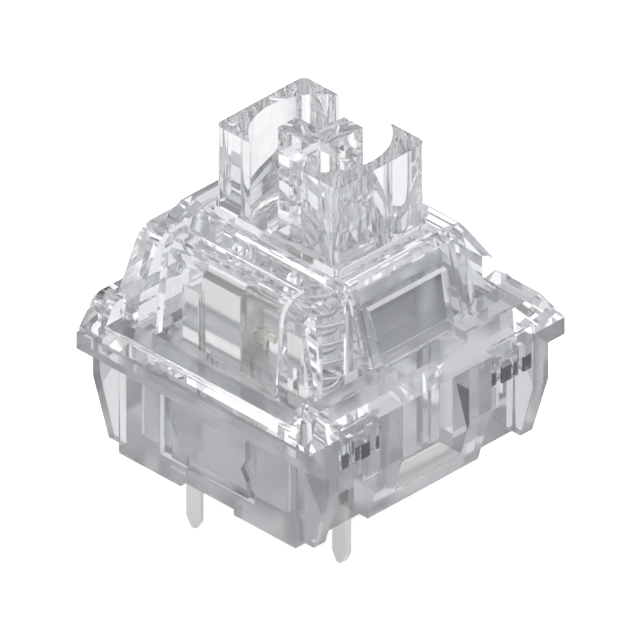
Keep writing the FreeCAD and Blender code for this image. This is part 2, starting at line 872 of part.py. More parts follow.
def cross_post():
    """Cross that a keycap presses onto, with a round collar at its foot."""
    z0 = COVER_TOP - STEM_BORE_DROP - SEAM
    top = STEM_TOP - CROSS_DROP
    arm_x = centred_box(CROSS_SPAN / 2, CROSS_ARM / 2, z0, top)
    arm_y = centred_box(CROSS_ARM / 2, CROSS_SPAN / 2, z0, top)
    collar = cylinder(COLLAR_R, z0, COVER_TOP - STEM_BORE_DROP + COLLAR_H)
    return [arm_x, arm_y, collar]


def skirt():
    """Hollow lower half of the stem, stopped under the cover's roof."""
    top = ROOF_Z - SEAT_GAP
    bottom = top - SKIRT_H
    half_x = STEM_X + SHOULDER
    block = centred_box(half_x, STEM_Y, bottom, top)
    rail_top = top - RAIL_DROP
    rail = span_box(half_x - SEAM, half_x + RAIL_PROUD, -RAIL_Y, RAIL_Y, bottom, rail_top)
    room = centred_box(
        half_x - SKIRT_WALL,
        STEM_Y - SKIRT_WALL,
        bottom - PAST,
        spring_seat_z(),
    )
    return fused([block] + both_sides(rail)).cut(room)


def stem_leg():
    """Leg whose lobe keeps the contact leaf open until the stem is pressed."""
    root = -STEM_Y + STEM_LEG_ROOT
    top = ROOF_Z - STEM_LEG_DROP
    back = -STEM_LEG_Y + STEM_LEG_BACK
    side = [
        (root, top),
        (-STEM_Y - STEM_LEG_BACK, top),
        (back, top - STEM_LEG_RAMP),
        (back, STEM_LOBE_Z + STEM_LEG_BACK),
        (-STEM_LEG_Y, STEM_LOBE_Z, STEM_LOBE_R),
        (-STEM_LEG_Y, STEM_LEG_FOOT_Z + STEM_LEG_RAMP, STEM_LOBE_R),
        (-STEM_LEG_Y + STEM_LEG_RAMP, STEM_LEG_FOOT_Z),
        (root, STEM_LEG_FOOT_Z),
    ]
    return side_prism(side, STEM_LEG_X0, STEM_LEG_X0 + STEM_LEG_W)


def pole():
    """Pole that runs down inside the spring."""
    shaft = cylinder(POLE_R, POLE_Z + POLE_TIP, ROOF_Z)
    tip = Part.makeCone(POLE_TIP_R, POLE_R, POLE_TIP, Vector(0, 0, POLE_Z))
    return [shaft, tip]


def stem():
    """Clear slider with dust wall, cross, skirt, rails, pole and contact legs."""
    parts = [dust_wall(), skirt()] + cross_post() + pole() + both_sides(stem_leg())
    return fused(parts)


# Spring


def coil_height(turn, height):
    """Height of the wire after some turns; the first and last turns are closed."""
    closed = 2 * WIRE_R
    if turn <= 1:
        return closed * turn
    if turn >= COIL_TURNS - 1:
        return height - closed * (COIL_TURNS - turn)
    return closed + (height - 2 * closed) * (turn - 1) / (COIL_TURNS - 2)


def wire_section(turn, start, height):
    """Many-sided section of the wire, square to the coil, after some turns."""
    angle = 2 * math.pi * turn
    outward = Vector(math.cos(angle), math.sin(angle), 0)
    centre = outward * COIL_R + Vector(0, 0, start + coil_height(turn, height))
    corners = []
    for index in range(WIRE_SIDES + 1):
        round_angle = 2 * math.pi * index / WIRE_SIDES
        corners.append(
            centre
            + outward * (WIRE_R * math.cos(round_angle))
            + Vector(0, 0, WIRE_R * math.sin(round_angle))
        )
    return Part.makePolygon(corners)


def spring():
    """Coil spring between the floor of the base and the seat in the stem."""
    start = FLOOR_Z + WIRE_R + SEAT_GAP
    height = spring_seat_z() - WIRE_R - SEAT_GAP - start
    steps = COIL_TURNS * STEPS_PER_TURN
    sections = [
        wire_section(step / STEPS_PER_TURN, start, height) for step in range(steps + 1)
    ]
    return Part.makeLoft(sections, True, True)


def spring_seat_z():
    """Underside of the stem that the spring presses against."""
    return COVER_TOP - STEM_BORE_DROP - STEM_FLOOR_T


# Contacts


def pin(x, y, width, thick, top):
    """Flat contact pin with a pointed end."""
    shape = front_prism(
        [
            (x - width / 2, top),
            (x - width / 2, -PIN_LEN + PIN_POINT),
            (x - width / 6, -PIN_LEN, PIN_ROUND),
            (x + width / 6, -PIN_LEN, PIN_ROUND),
            (x + width / 2, -PIN_LEN + PIN_POINT),
            (x + width / 2, top),
        ],
        y - thick / 2,
        y + thick / 2,
    )
    return shape


def fixed_contact():
    """Fixed contact: pin, strip along the floor, blade and slit riser."""
    z0 = FLOOR_Z + SEAT_GAP
    z1 = z0 + STRIP_Z
    blade_x = STEM_LEG_X0 - RUN_GAP
    riser_y = PIN_B_Y + RISER_BACK
    foot = span_box(
        PIN_A_X - PIN_A_W / 2,
        PIN_A_X + PIN_A_W / 2,
        riser_y,
        PIN_A_Y + PIN_A_T / 2,
        z0,
        z1,
    )
    strip = span_box(-blade_x, PIN_A_X, BLADE_Y, BLADE_Y + CONTACT_T, z0, z1)
    blade = span_box(-blade_x, blade_x, BLADE_Y, BLADE_Y + CONTACT_T, z0, BLADE_TOP)
    riser = span_box(RISER_X, RISER_X + RISER_W, riser_y, riser_y + CONTACT_T, z0, RISER_TOP)
    slit = span_box(
        RISER_X + (RISER_W - RISER_SLIT) / 2,
        RISER_X + (RISER_W + RISER_SLIT) / 2,
        riser_y - PAST,
        riser_y + PAST,
        RISER_SLIT_Z0,
        RISER_SLIT_Z1,
    )
    shank = pin(PIN_A_X, PIN_A_Y, PIN_A_W, PIN_A_T, z1)
    return fused([foot, strip, blade, riser.cut(slit), shank])


def contact_ridge(y0, y1):
    """Ridge across the full width of a contact point, from its base at y0 to its edge at y1."""
    return side_prism(
        [
            (y0, POINT_Z - POINT_H / 2),
            (y1, POINT_Z - POINT_H / 6),
            (y1, POINT_Z + POINT_H / 6),
            (y0, POINT_Z + POINT_H / 2),
        ],
        POINT_X - POINT_W / 2,
        POINT_X + POINT_W / 2,
    )


def fixed_point():
    """Contact point on the fixed blade."""
    return contact_ridge(BLADE_Y, BLADE_Y - POINT_T)


def moving_terminal():
    """Terminal plate that carries the leaf, with a narrow horn above and pin B below."""
    z0 = FLOOR_Z + SEAT_GAP
    x0 = PIN_B_X - TERMINAL_W / 2
    y0 = PIN_B_Y - PIN_B_T / 2
    y1 = PIN_B_Y + PIN_B_T / 2
    plate = span_box(x0, x0 + TERMINAL_W, y0, y1, z0, TERMINAL_TOP)
    horn = span_box(
        TERMINAL_HORN_X,
        TERMINAL_HORN_X + TERMINAL_HORN_W,
        y0,
        y1,
        z0,
        TERMINAL_HORN_TOP,
    )
    return fused([plate, horn, pin(PIN_B_X, PIN_B_Y, PIN_B_W, PIN_B_T, z0 + SEAM)])


def fold_arc(centre_y, radius):
    """Half circle over the top of the leaf, from its outer to its inner branch."""
    return Part.Arc(
        Vector(0, centre_y - radius, LEAF_BEND_Z),
        Vector(0, centre_y, LEAF_BEND_Z + radius),
        Vector(0, centre_y + radius, LEAF_BEND_Z),
    )


def leaf_profile():
    """Side view of the folded leaf as one bent strip."""
    centre_y = (LEAF_OUTER_Y + LEAF_INNER_Y) / 2
    outer = fold_arc(centre_y, LEAF_BEND_R + LEAF_T / 2)
    inner = fold_arc(centre_y, LEAF_BEND_R - LEAF_T / 2)
    root_outer = Vector(0, outer.StartPoint.y, LEAF_ROOT_Z)
    root_inner = Vector(0, inner.StartPoint.y, LEAF_ROOT_Z)
    end_outer = Vector(0, outer.EndPoint.y, LEAF_ARM_Z)
    end_inner = Vector(0, inner.EndPoint.y, LEAF_ARM_Z)
    edges = [
        outer.toShape(),
        Part.LineSegment(outer.EndPoint, end_outer).toShape(),
        Part.LineSegment(end_outer, end_inner).toShape(),
        Part.LineSegment(end_inner, inner.EndPoint).toShape(),
        inner.toShape(),
        Part.LineSegment(inner.StartPoint, root_inner).toShape(),
        Part.LineSegment(root_inner, root_outer).toShape(),
        Part.LineSegment(root_outer, outer.StartPoint).toShape(),
    ]
    return Part.Face(Part.Wire(edges))


def leaf_branch_cuts(y_mid, arm_out):
    """What is cut from the full strip to leave the root, both branches and the fold."""
    front = LEAF_OUTER_Y - PAST
    back = LEAF_INNER_Y + PAST
    top = LEAF_BEND_Z + PAST
    root_right = LEAF_ROOT_X + LEAF_ROOT_W
    return [
        span_box(root_right, arm_out + PAST, front, y_mid, 0, LEAF_WIDE_Z),
        span_box(LEAF_FOLD_X1, arm_out + PAST, front, y_mid, 0, top),
        span_box(LEAF_FOLD_X1, arm_out + PAST, front, back, LEAF_SHOULDER_Z, top),
        span_box(LEAF_ROOT_X - PAST, LEAF_FOLD_X0, front, back, LEAF_WIDE_Z, top),
        span_box(LEAF_ROOT_X - PAST, LEAF_FOLD_X0, y_mid, back, 0, top),
    ]


def leaf_arm_cuts(y_mid, arm_out):
    """Slots that part the tongue from the two arms, the space below it and its rivet hole."""
    back = LEAF_INNER_Y + PAST
    arm_in = arm_out - LEAF_ARM_W
    tongue_left = POINT_X - LEAF_TONGUE_W / 2
    tongue_right = POINT_X + LEAF_TONGUE_W / 2
    return [
        span_box(-arm_in, tongue_left, y_mid, back, 0, LEAF_SLOT_Z),
        span_box(tongue_right, arm_in, y_mid, back, 0, LEAF_SLOT_Z),
        span_box(tongue_left, tongue_right, y_mid, back, 0, POINT_Z - LEAF_TONGUE_DROP),
        rivet(y_mid, back, POINT_HOLE),
    ]


def rivet(y0, y1, width):
    """Square rod through the tongue at the contact point."""
    half = width / 2
    return span_box(POINT_X - half, POINT_X + half, y0, y1, POINT_Z - half, POINT_Z + half)


def moving_leaf():
    """Folded spring leaf: narrow root, wide fold, and an inner branch with tongue and arms."""
    arm_out = STEM_LEG_X0 + (STEM_LEG_W + LEAF_ARM_W) / 2
    strip = leaf_profile().extrude(Vector(arm_out - LEAF_ROOT_X, 0, 0))
    strip.translate(Vector(LEAF_ROOT_X, 0, 0))
    y_mid = (LEAF_OUTER_Y + LEAF_INNER_Y) / 2
    return without(strip, leaf_branch_cuts(y_mid, arm_out) + leaf_arm_cuts(y_mid, arm_out))


def moving_point():
    """Contact point riveted through the leaf's tongue, with a flat head outside."""
    outside = LEAF_INNER_Y - LEAF_T
    ridge = contact_ridge(LEAF_INNER_Y, LEAF_INNER_Y + POINT_T)
    shank = rivet(outside, LEAF_INNER_Y, POINT_HOLE)
    head = span_box(
        POINT_X - POINT_W / 2,
        POINT_X + POINT_W / 2,
        outside - POINT_HEAD,
        outside,
        POINT_Z - POINT_H / 2,
        POINT_Z + POINT_H / 2,
    )
    return fused([ridge, shank, head])


NODES = {
    "bottom_housing": bottom_housing,
    "top_housing": top_housing,
    "stem": stem,
    "return_spring": spring,
    "fixed_contact": fixed_contact,
    "fixed_contact_point": fixed_point,
    "moving_terminal": moving_terminal,
    "moving_leaf": moving_leaf,
    "moving_contact_point": moving_point,
}


def main():
    """Write one STEP file for each piece of the switch."""
    os.makedirs("parts", exist_ok=True)
    for name, build in NODES.items():
        shape = build()
        box = shape.BoundBox
        print(
            f"{name}: valid {shape.isValid()} solids {len(shape.Solids)} volume {shape.Volume:.3f}"
            f" x {box.XMin:.2f} {box.XMax:.2f} y {box.YMin:.2f} {box.YMax:.2f}"
            f" z {box.ZMin:.2f} {box.ZMax:.2f}"
        )
        shape.exportStep(os.path.join("parts", name + ".step"))


main()
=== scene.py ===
"""Mechanical keyboard switch: a clear cover and cross stem over a frosted base.

The plastic and metal pieces copy the forms of the solids and get softened edges. The coil spring
and the contact bar are surfaces of their own.
"""

import logging
import math
from dataclasses import dataclass, field, replace
from enum import Enum
from typing import TypeAlias

import bmesh
import bpy
import numpy as np
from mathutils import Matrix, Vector


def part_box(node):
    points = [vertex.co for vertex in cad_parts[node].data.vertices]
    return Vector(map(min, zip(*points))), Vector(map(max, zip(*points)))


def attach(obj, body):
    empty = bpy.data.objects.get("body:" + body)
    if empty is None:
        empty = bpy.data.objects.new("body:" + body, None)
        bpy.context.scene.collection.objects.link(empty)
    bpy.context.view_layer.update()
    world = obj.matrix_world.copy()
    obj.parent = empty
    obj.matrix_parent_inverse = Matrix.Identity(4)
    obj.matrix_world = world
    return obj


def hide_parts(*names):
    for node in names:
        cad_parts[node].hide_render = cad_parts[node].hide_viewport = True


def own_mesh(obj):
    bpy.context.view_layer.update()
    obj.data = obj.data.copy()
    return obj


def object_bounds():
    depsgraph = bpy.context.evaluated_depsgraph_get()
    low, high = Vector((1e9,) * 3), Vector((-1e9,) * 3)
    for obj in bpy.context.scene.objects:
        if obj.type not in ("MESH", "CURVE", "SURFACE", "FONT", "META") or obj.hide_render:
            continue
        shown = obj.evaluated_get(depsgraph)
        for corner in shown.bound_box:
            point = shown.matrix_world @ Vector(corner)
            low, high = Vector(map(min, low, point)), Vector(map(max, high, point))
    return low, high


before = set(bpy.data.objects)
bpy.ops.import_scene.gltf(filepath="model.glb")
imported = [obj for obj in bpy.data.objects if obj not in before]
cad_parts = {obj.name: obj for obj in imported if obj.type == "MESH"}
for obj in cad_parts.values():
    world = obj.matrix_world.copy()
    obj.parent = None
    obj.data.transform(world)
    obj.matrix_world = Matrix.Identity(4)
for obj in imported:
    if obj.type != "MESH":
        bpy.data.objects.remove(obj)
CAD_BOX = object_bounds()

MM = 0.001
log = logging.getLogger("keyboard_switch")

Colour: TypeAlias = tuple[float, float, float]
Range: TypeAlias = tuple[float, float]
Feed: TypeAlias = bpy.types.NodeSocket | float | Colour


class Slot(Enum):
    """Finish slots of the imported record."""

    CLEAR_COVER = "clear_cover"
    CLEAR_STEM = "clear_stem"
    FROSTED_BASE = "frosted_base"
    SPRING_WIRE = "spring_wire"
    CONTACT_SHEET = "contact_sheet"
    CONTACT_GOLD = "contact_gold"


class Body(Enum):
    """Moving bodies of the switch."""

    HOUSING = "housing"
    SLIDER = "slider"
    CONTACT_LEAF = "contact_leaf"


# Node trees

# Sockets of a Mix node by number: its share, and for colours and for values A, B and the result.
MIX_SHARE = 0
COLOUR_A, COLOUR_B, COLOUR_RESULT = 6, 7, 2
VALUE_A, VALUE_B, VALUE_RESULT = 2, 3, 0


class Graph:
    """A node tree with short calls that add nodes and join sockets."""

    def __init__(self, tree: bpy.types.NodeTree) -> None:
        """Wrap a tree."""
        self.tree = tree

    def add(
        self, kind: str, inputs: dict[str, object] | None = None, **settings: object
    ) -> bpy.types.Node:
        """Add one node.

        Args:
            kind: Blender's name of the node type.
            inputs: Input socket values by name.
            settings: Attributes of the node.

        Returns:
            The new node.
        """
        node = self.tree.nodes.new(kind)
        for name, value in settings.items():
            setattr(node, name, value)
        for name, value in (inputs or {}).items():
            node.inputs[name].default_value = value
        return node

    def join(self, source: bpy.types.NodeSocket, target: bpy.types.NodeSocket) -> None:
        """Link an output socket to an input socket."""
        self.tree.links.new(source, target)

    def put(self, value: Feed, target: bpy.types.NodeSocket) -> None:
        """Feed an input.

        Args:
            value: A socket to link, or a plain number or colour to set.
            target: The input socket.
        """
        if isinstance(value, bpy.types.NodeSocket):
            self.join(value, target)
        elif isinstance(value, float):
            target.default_value = value
        else:
            target.default_value = (*value, 1.0)

    def split(self, vector: bpy.types.NodeSocket) -> bpy.types.bpy_prop_collection:
        """Part a vector into its X, Y and Z.

        Args:
            vector: The vector.

        Returns:
            The outputs, by the names X, Y and Z.
        """
        parts = self.add("ShaderNodeSeparateXYZ")
        self.join(vector, parts.inputs[0])
        return parts.outputs

    def remap(
        self,
        value: bpy.types.NodeSocket,
        source: Range,
        target: Range,
        course: str = "LINEAR",
    ) -> bpy.types.NodeSocket:
        """Map a value from one range to another.

        Args:
            value: The value.
            source: The range it comes in.
            target: The range it is mapped to.
            course: Kind of interpolation between the ends.

        Returns:
            The mapped value.
        """
        limits = dict(zip(("From Min", "From Max", "To Min", "To Max"), (*source, *target)))
        node = self.add("ShaderNodeMapRange", limits, interpolation_type=course)
        self.join(value, node.inputs["Value"])
        return node.outputs["Result"]

    def maths(self, operation: str, first: Feed, second: Feed = 0.0) -> bpy.types.NodeSocket:
        """Work out a sum or comparison of two values.

        Args:
            operation: Blender's name of the operation.
            first: The first value.
            second: The second value.

        Returns:
            The result.
        """
        node = self.add("ShaderNodeMath", operation=operation)
        self.put(first, node.inputs[0])
        self.put(second, node.inputs[1])
        return node.outputs[0]

    def blend(self, share: bpy.types.NodeSocket, first: Feed, second: Feed) -> bpy.types.NodeSocket:
        """Mix two colours.

        Args:
            share: From 0, all the first, to 1, all the second.
            first: The first colour.
            second: The second colour.

        Returns:
            The mixed colour.
        """
        node = self.add("ShaderNodeMix", data_type="RGBA")
        self.join(share, node.inputs[MIX_SHARE])
        self.put(first, node.inputs[COLOUR_A])
        self.put(second, node.inputs[COLOUR_B])
        return node.outputs[COLOUR_RESULT]

    def shown_ray(self) -> bpy.types.NodeSocket:
        """Tell the rays that show the background: seen, mirrored or passed through.

        Returns:
            One for such a ray, and zero for the rest.
        """
        path = self.add("ShaderNodeLightPath")
        value = path.outputs["Is Camera Ray"]
        for kind in ("Is Glossy Ray", "Is Transmission Ray"):
            value = self.maths("MAXIMUM", value, path.outputs[kind])
        return value


def moulding_group() -> bpy.types.NodeTree:
    """Slow flow waves and fine tool marks of moulded plastic.

    Returns:
        A group with Flow Scale, Grain Scale, Grain Share and Vector in, and Height and Mask out.
    """
    group = bpy.data.node_groups.new("moulding_flow", "ShaderNodeTree")
    face = group.interface
    for name, value in (("Flow Scale", 260.0), ("Grain Scale", 9000.0), ("Grain Share", 0.2)):
        face.new_socket(name, in_out="INPUT", socket_type="NodeSocketFloat").default_value = value
    face.new_socket("Vector", in_out="INPUT", socket_type="NodeSocketVector")
    face.new_socket("Height", in_out="OUTPUT", socket_type="NodeSocketFloat")
    face.new_socket("Mask", in_out="OUTPUT", socket_type="NodeSocketFloat")
    graph = Graph(group)
    source = graph.add("NodeGroupInput").outputs
    sink = graph.add("NodeGroupOutput")
    flow = graph.add("ShaderNodeTexNoise", {"Detail": 1.0})
    grain = graph.add("ShaderNodeTexNoise", {"Detail": 3.0})
    mix = graph.add("ShaderNodeMix", data_type="FLOAT")
    for node, scale in ((flow, "Flow Scale"), (grain, "Grain Scale")):
        graph.join(source["Vector"], node.inputs["Vector"])
        graph.join(source[scale], node.inputs["Scale"])
    graph.join(source["Grain Share"], mix.inputs[MIX_SHARE])
    graph.join(flow.outputs["Fac"], mix.inputs[VALUE_A])
    graph.join(grain.outputs["Fac"], mix.inputs[VALUE_B])
    graph.join(mix.outputs[VALUE_RESULT], sink.inputs["Height"])
    graph.join(flow.outputs["Fac"], sink.inputs["Mask"])
    return group


def rolling_group() -> bpy.types.NodeTree:
    """Fine marks along one direction, as rolling and drawing leave on metal.

    Returns:
        A group with Vector, Stretch and Mark Scale in, and Mask out.
    """
    group = bpy.data.node_groups.new("rolling_marks", "ShaderNodeTree")
    face = group.interface
    face.new_socket("Vector", in_out="INPUT", socket_type="NodeSocketVector")
    face.new_socket("Stretch", in_out="INPUT", socket_type="NodeSocketVector")
    scale = face.new_socket("Mark Scale", in_out="INPUT", socket_type="NodeSocketFloat")
    scale.default_value = 16000.0
    face.new_socket("Mask", in_out="OUTPUT", socket_type="NodeSocketFloat")
    graph = Graph(group)
    source = graph.add("NodeGroupInput").outputs
    sink = graph.add("NodeGroupOutput")
    along = graph.add("ShaderNodeMapping")
    marks = graph.add("ShaderNodeTexNoise", {"Detail": 2.0})
    graph.join(source["Vector"], along.inputs["Vector"])
    graph.join(source["Stretch"], along.inputs["Scale"])
    graph.join(along.outputs["Vector"], marks.inputs["Vector"])
    graph.join(source["Mark Scale"], marks.inputs["Scale"])
    graph.join(marks.outputs["Fac"], sink.inputs["Mask"])
    return group


class Limit(Enum):
    """Inputs of the region group."""

    FROM_X = "From X"
    TO_X = "To X"
    FROM_Y = "From Y"
    TO_Y = "To Y"
    FROM_Z = "From Z"
    TO_Z = "To Z"
    LEANED_FROM = "Leaned From"
    LEANED_TO = "Leaned To"
    LEAN = "Lean"


RANGES = [limit for limit in Limit if limit is not Limit.LEAN]


def region_group() -> bpy.types.NodeTree:
    """Mask of the faces in a region.

    Returns:
        A group with Vector and the region's limits in, and Mask out.
    """
    group = bpy.data.node_groups.new("region_mask", "ShaderNodeTree")
    face = group.interface
    face.new_socket("Vector", in_out="INPUT", socket_type="NodeSocketVector")
    for name in Limit:
        face.new_socket(name.value, in_out="INPUT", socket_type="NodeSocketFloat")
    face.new_socket("Mask", in_out="OUTPUT", socket_type="NodeSocketFloat")
    graph = Graph(group)
    source = graph.add("NodeGroupInput").outputs
    limit = {name: source[name.value] for name in Limit}
    sink = graph.add("NodeGroupOutput")
    parts = graph.split(source["Vector"])
    side = graph.maths("ABSOLUTE", parts["X"])
    along = graph.maths("ABSOLUTE", parts["Y"])
    height = parts["Z"]
    leaned = graph.maths("ADD", graph.maths("MULTIPLY", height, limit[Limit.LEAN]), side)
    mask = graph.maths("GREATER_THAN", side, limit[Limit.FROM_X])
    for larger, smaller in (
        (limit[Limit.TO_X], side),
        (along, limit[Limit.FROM_Y]),
        (limit[Limit.TO_Y], along),
        (height, limit[Limit.FROM_Z]),
        (limit[Limit.TO_Z], height),
        (leaned, limit[Limit.LEANED_FROM]),
        (limit[Limit.LEANED_TO], leaned),
    ):
        mask = graph.maths("MULTIPLY", mask, graph.maths("GREATER_THAN", larger, smaller))
    graph.join(mask, sink.inputs["Mask"])
    return group


@dataclass(frozen=True)
class Groups:
    """Shared node groups."""

    moulding: bpy.types.NodeTree
    rolling: bpy.types.NodeTree
    region: bpy.types.NodeTree


# Finishes


@dataclass(frozen=True)
class Region:
    """Faces of a piece with a roughness of their own and a tint of painted light or shade, the same
    on its four corners.

    A face is in the region where x and y, both without their sign, and z lie in the given ranges,
    and x plus lean times z lies in the leaned range. The ranges are in millimetres.
    """

    across: Range
    along: Range
    height: Range
    roughness: float
    tint: Colour
    lean: float = 0.0
    leaned: Range = (-100.0, 100.0)

    def mask(
        self, graph: Graph, groups: Groups, place: bpy.types.NodeSocket
    ) -> bpy.types.NodeSocket:
        """Place the region group in a material with these limits.

        Args:
            graph: The material's nodes.
            groups: The shared node groups.
            place: The place on the piece.

        Returns:
            One on the region's faces, and zero elsewhere.
        """
        node = graph.add("ShaderNodeGroup", node_tree=groups.region)
        graph.join(place, node.inputs["Vector"])
        limits = (*self.across, *self.along, *self.height, *self.leaned)
        for name, value in zip(RANGES, limits, strict=True):
            node.inputs[name.value].default_value = value * MM
        node.inputs[Limit.LEAN.value].default_value = self.lean
        return node.outputs["Mask"]


# The lower end of a range of x or y that starts at the middle of the part.
MIDDLE = -1.0

# Painted shade on the cover's side panel: the panel greyed, a darker band near its top, and painted
# highlights as fine light lines across it.
PANEL_PAINTED_SHADE = Region(
    across=(4.2, 7.0),
    along=(MIDDLE, 2.6),
    height=(6.9, 10.6),
    roughness=0.3,
    tint=(0.58, 0.593, 0.618),
    lean=0.268,
    leaned=(0.0, 8.0),
)
PANEL_PAINTED_DARK_BAND = replace(
    PANEL_PAINTED_SHADE, along=(MIDDLE, 2.3), height=(9.45, 10.0), roughness=0.2, tint=(0.42, 0.43, 0.45)
)
PANEL_PAINTED_HIGHLIGHT_LINE = replace(
    PANEL_PAINTED_SHADE, along=(MIDDLE, 2.42), height=(7.62, 7.67), roughness=0.1, tint=(0.9, 0.905, 0.91)
)
PANEL_PAINTED_LIGHT = (
    PANEL_PAINTED_SHADE,
    PANEL_PAINTED_DARK_BAND,
    replace(PANEL_PAINTED_HIGHLIGHT_LINE, height=(7.05, 7.16), tint=(0.95, 0.955, 0.96)),
    PANEL_PAINTED_HIGHLIGHT_LINE,
    replace(PANEL_PAINTED_HIGHLIGHT_LINE, height=(8.5, 8.54)),
)

# Painted shade: dark ends of the snap leg's prongs, wide and narrow in turn.
WIDE_END_PAINTED_SHADE = Region((6.9, 7.1), (5.23, 5.75), (4.2, 4.95), 0.1, (0.02, 0.022, 0.025))
NARROW_END_PAINTED_SHADE = Region((6.9, 7.1), (4.64, 4.92), (4.3, 4.95), 0.1, (0.04, 0.042, 0.045))
PRONG_END_PAINTED_SHADE = (
    WIDE_END_PAINTED_SHADE,
    NARROW_END_PAINTED_SHADE,
    replace(WIDE_END_PAINTED_SHADE, along=(3.96, 4.56)),
    replace(NARROW_END_PAINTED_SHADE, along=(3.42, 3.65)),
)

# Painted shade: darker tints on the outer faces and end faces of the stem's dust walls.
WALL_SIDE_PAINTED_SHADE = Region((3.6, 3.8), (MIDDLE, 2.8), (10.8, 15.7), 0.02, (0.75, 0.758, 0.774))
WALL_END_PAINTED_SHADE = Region((1.2, 3.6), (2.65, 2.8), (10.8, 15.7), 0.02, (0.86, 0.868, 0.88))
STEM_PAINTED_SHADE = (WALL_SIDE_PAINTED_SHADE, WALL_END_PAINTED_SHADE)

# Painted shade as a darker tint on the outer face of the side frame of the base, and painted light
# as a lighter tint on the underside with the centre post.
FRAME_FACE_PAINTED_SHADE = Region((6.97, 7.1), (MIDDLE, 5.0), (0.05, 4.6), 0.2, (0.62, 0.63, 0.648))
UNDERSIDE_PAINTED_LIGHT = Region((MIDDLE, 7.1), (MIDDLE, 7.9), (-4.0, 0.05), 0.15, (0.96, 0.964, 0.97))
# Painted light: lighter tints on the walls of the recesses in the side, and on the sill and back
# wall inside the frame, which have their own roughness too.
RECESS_PAINTED_LIGHT = Region(
    (5.1, 6.93), (MIDDLE, 5.92), (0.2, 5.84), 0.03, (0.88, 0.888, 0.9), -0.276, (-9.0, 6.05)
)
SILL_PAINTED_LIGHT = Region((5.3, 6.97), (MIDDLE, 1.97), (1.25, 1.45), 0.5, (1.0, 1.0, 1.0))
BACK_WALL_PAINTED_LIGHT = Region((5.1, 5.3), (MIDDLE, 1.97), (1.45, 4.9), 0.12, (1.0, 1.0, 1.0))
# Painted shade: dark triangle on the frame's inner side, and the dark triangle at the foot of the
# corner post.
FRAME_TRIANGLE_PAINTED_SHADE = Region(
    (6.2, 6.98), (1.9, 2.1), (2.2, 4.8), 0.1, (0.15, 0.155, 0.165), 0.313, (7.72, 9.9)
)
POST_TRIANGLE_PAINTED_SHADE = Region(
    (5.7, 7.1), (6.5, 7.2), (2.0, 4.15), 0.12, (0.4, 0.41, 0.43), 0.524, (7.99, 99.0)
)
BASE_PAINTED_LIGHT_AND_SHADE = (FRAME_FACE_PAINTED_SHADE, UNDERSIDE_PAINTED_LIGHT, RECESS_PAINTED_LIGHT, SILL_PAINTED_LIGHT, BACK_WALL_PAINTED_LIGHT, FRAME_TRIANGLE_PAINTED_SHADE, POST_TRIANGLE_PAINTED_SHADE)


def darker(tint: Colour, share: float) -> Colour:
    """Colour with each part multiplied by a share."""
    return tuple(part * share for part in tint)


@dataclass(frozen=True)
class Draft:
    """A new material with its nodes, its shader and the place on the piece."""

    made: bpy.types.Material
    graph: Graph
    shader: bpy.types.Node
    place: bpy.types.NodeSocket

    @classmethod
    def start(cls, name: str) -> "Draft":
        """Start a material.

        Args:
            name: The material's name.

        Returns:
            The draft, with a shader that is still plain.
        """
        made = bpy.data.materials.new(name)
        made.use_nodes = True
        graph = Graph(made.node_tree)
        place = graph.add("ShaderNodeTexCoord").outputs["Object"]
        return cls(made, graph, made.node_tree.nodes["Principled BSDF"], place)


@dataclass(frozen=True)
class Plastic:
    """Moulded plastic that lets light through, clear or frosted.

    The grain is the share of fine tool marks in its surface, the rest being slow flow waves. The
    faces of some regions have another roughness, and a tint with painted light or shade.
    """

    name: str
    tint: Colour
    ior: float = 1.49
    transmission: float = 1.0
    rough_low: float = 0.0
    rough_high: float = 0.02
    grain: float = 0.02
    wave_depth: float = 0.0004 * MM
    wave_strength: float = 0.08
    flow_shade: float = 0.97
    painted_light_regions: tuple[Region, ...] = ()

    def material(self, groups: Groups) -> bpy.types.Material:
        """Build the material with its moulding waves and its regions of painted light and shade.

        Args:
            groups: The shared node groups.

        Returns:
            The finished material.
        """
        draft = Draft.start(self.name)
        graph, shader = draft.graph, draft.shader
        shader.inputs["Transmission Weight"].default_value = self.transmission
        shader.inputs["IOR"].default_value = self.ior
        flow = graph.add("ShaderNodeGroup", {"Grain Share": self.grain}, node_tree=groups.moulding)
        graph.join(draft.place, flow.inputs["Vector"])
        height = flow.outputs["Height"]
        rough = graph.remap(height, (0.0, 1.0), (self.rough_low, self.rough_high))
        shade = darker(self.tint, self.flow_shade)
        colour = graph.blend(flow.outputs["Mask"], shade, self.tint)
        # Painted light and shade: each region's tint replaces the plastic's own colour on its
        # faces, with its own roughness.
        for region in self.painted_light_regions:
            mask = region.mask(graph, groups, draft.place)
            rest = graph.maths("MULTIPLY", rough, graph.maths("SUBTRACT", 1.0, mask))
            rough = graph.maths("ADD", rest, graph.maths("MULTIPLY", mask, region.roughness))
            colour = graph.blend(mask, colour, region.tint)
        graph.join(colour, shader.inputs["Base Color"])
        graph.join(rough, shader.inputs["Roughness"])
        depths = {"Strength": self.wave_strength, "Distance": self.wave_depth}
        bump = graph.add("ShaderNodeBump", depths)
        graph.join(height, bump.inputs["Height"])
        graph.join(bump.outputs["Normal"], shader.inputs["Normal"])
        return draft.made


